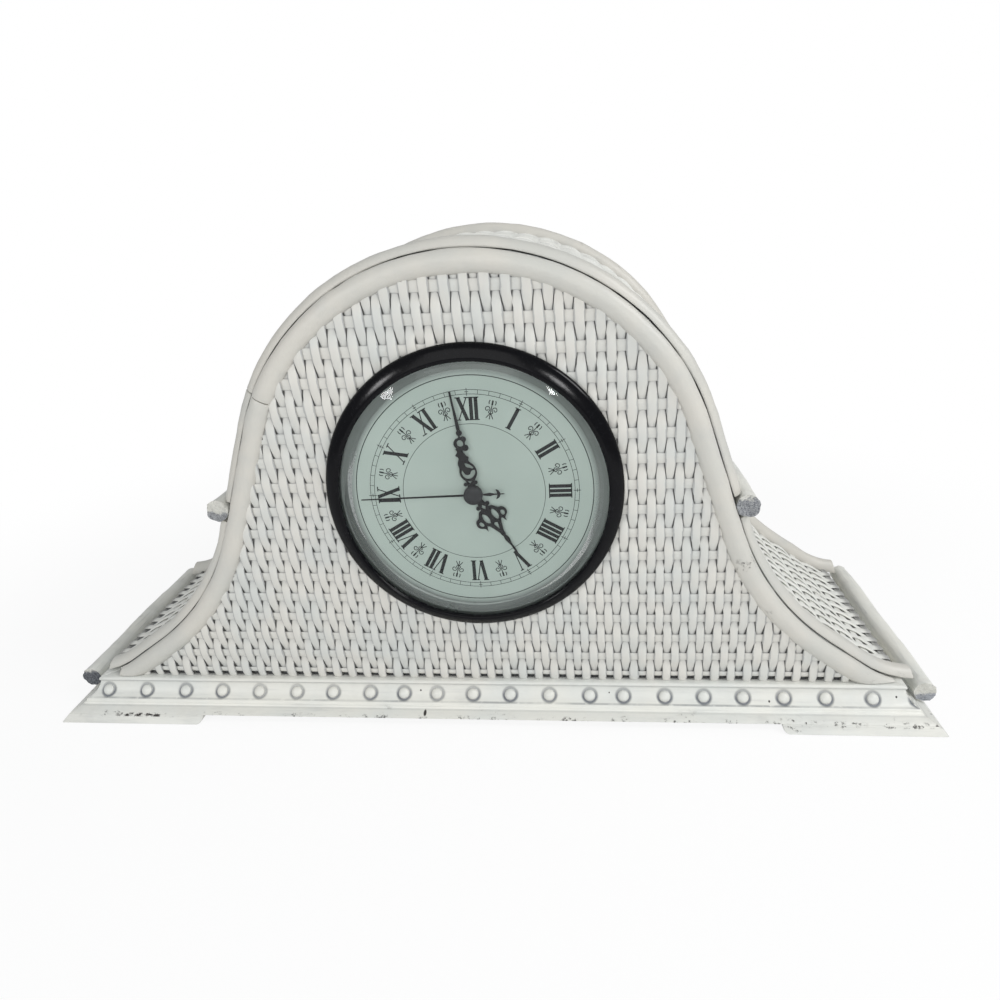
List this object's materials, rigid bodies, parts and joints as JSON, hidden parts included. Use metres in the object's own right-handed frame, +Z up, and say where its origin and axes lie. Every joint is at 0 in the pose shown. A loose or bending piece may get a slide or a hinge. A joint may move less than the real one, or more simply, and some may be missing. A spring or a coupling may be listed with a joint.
{
  "type": "mantel clock",
  "caption": "Tambour mantel clock cased in white painted woven cane edged with half-round rattan, on a beaded plinth with bracket feet, with openwork hands and a quartz movement.",
  "frame": {"origin": "middle of the footprint, on the surface that the feet stand on", "axes": "+Z up, the dial faces -Y, +X to the right as seen from the front"},
  "size_m": [0.4136, 0.1358, 0.2175],
  "materials": {
    "painted_rattan": "satin white paint with a grey wash in the hollows",
    "painted_weave": "satin white paint with a grey wash in the hollows",
    "painted_board": "satin white paint",
    "painted_wood": "satin white paint, scuffed on the edges",
    "plywood": "bare",
    "black_ring": "black, satin gloss",
    "clear_lens": "clear, polished, bevelled rim",
    "silver_ring": "silver grey",
    "printed_dial": "matt pale grey green with black print",
    "black_plastic": "fine grained black",
    "spring_steel": "bright",
    "brass": "machined",
    "soft_iron": "stamped",
    "copper_winding": "varnished copper wire",
    "black_hands": "satin black",
    "white_nylon": "moulded",
    "magnet": "dull grey",
    "cell_can": "printed foil sleeve, bare"
  },
  "bodies": {
    "case": {"front_board": "plywood", "rear_board": "painted_board", "front_weave": "painted_weave", "arch_skin": "painted_board", "arch_weave": "painted_weave", "edge_strip_rear_arch": "painted_rattan", "edge_strip_front_left": "painted_rattan", "edge_strip_front_right": "painted_rattan", "face_strip_left": "painted_rattan", "face_strip_right": "painted_rattan", "shoulder_skin_left": "painted_board", "shoulder_weave_left": "painted_weave", "edge_strip_front_toe_left": "painted_rattan", "edge_strip_rear_toe_left": "painted_rattan", "waist_pole_left": "painted_rattan", "foot_pole_left": "painted_rattan", "batten_left": "plywood", "shoulder_skin_right": "painted_board", "shoulder_weave_right": "painted_weave", "edge_strip_front_toe_right": "painted_rattan", "edge_strip_rear_toe_right": "painted_rattan", "waist_pole_right": "painted_rattan", "foot_pole_right": "painted_rattan", "batten_right": "plywood", "plinth_board": "painted_wood", "rear_rail": "painted_wood", "front_moulding": "painted_wood", "side_moulding_left": "painted_wood", "side_moulding_right": "painted_wood", "foot_front_left": "painted_wood", "foot_rear_left": "painted_wood", "foot_front_right": "painted_wood", "foot_rear_right": "painted_wood", "bezel": "black_ring", "lens": "clear_lens", "dial_spacer": "silver_ring", "dial": "printed_dial", "dial_cup": "black_plastic", "clip_left": "spring_steel", "clip_right": "spring_steel", "hex_nut": "black_hands", "movement_case": "black_plastic", "stator": "soft_iron", "coil": "copper_winding", "movement_cover": "black_plastic", "contact_minus": "spring_steel", "contact_plus": "spring_steel"},
    "minute": {"minute_arbor": "brass", "minute_hand": "black_hands"},
    "hour": {"hour_wheel": "white_nylon", "hour_hand": "black_hands"},
    "setting": {"minute_wheel": "white_nylon", "setting_knob": "black_plastic"},
    "centre": {"centre_wheel": "white_nylon"},
    "third": {"third_wheel": "white_nylon"},
    "second": {"second_wheel": "white_nylon", "second_hand": "black_hands"},
    "fifth": {"fifth_wheel": "white_nylon"},
    "rotor": {"rotor": "magnet"},
    "battery": {"battery": "cell_can"}
  },
  "joints": [
    {"name": "minute_turn", "type": "hinge", "parent": "case", "child": "minute", "pos_m": [0, -0.0481, 0.1105], "axis": [0, 1, 0], "continuous": true},
    {"name": "hour_turn", "type": "hinge", "parent": "case", "child": "hour", "pos_m": [0, -0.0481, 0.1105], "axis": [0, 1, 0], "continuous": true},
    {"name": "setting_turn", "type": "hinge", "parent": "case", "child": "setting", "pos_m": [-0.00953, -0.0481, 0.116], "axis": [0, 1, 0], "continuous": true},
    {"name": "second_turn", "type": "hinge", "parent": "case", "child": "second", "pos_m": [0, -0.0481, 0.1105], "axis": [0, 1, 0], "continuous": true},
    {"name": "fifth_turn", "type": "hinge", "parent": "case", "child": "fifth", "pos_m": [0, -0.0481, 0.1189], "axis": [0, 1, 0], "continuous": true},
    {"name": "rotor_turn", "type": "hinge", "parent": "case", "child": "rotor", "pos_m": [0.0045, -0.0481, 0.12599], "axis": [0, 1, 0], "continuous": true},
    {"name": "third_turn", "type": "hinge", "parent": "case", "child": "third", "pos_m": [0.00958, -0.0481, 0.11399], "axis": [0, 1, 0], "continuous": true},
    {"name": "centre_turn", "type": "hinge", "parent": "case", "child": "centre", "pos_m": [0, -0.0481, 0.1105], "axis": [0, 1, 0], "continuous": true},
    {"name": "battery_slide", "type": "slide", "parent": "case", "child": "battery", "axis": [0, 1, 0], "range_m": [0, 0.112]}
  ],
  "couplings": [
    {"joint": "hour_turn", "follows": "minute_turn", "ratio": 0.083333},
    {"joint": "setting_turn", "follows": "minute_turn", "ratio": -0.33333},
    {"joint": "fifth_turn", "follows": "second_turn", "ratio": -5},
    {"joint": "rotor_turn", "follows": "second_turn", "ratio": 30},
    {"joint": "third_turn", "follows": "second_turn", "ratio": -0.125},
    {"joint": "centre_turn", "follows": "second_turn", "ratio": 0.016667}
  ]
}
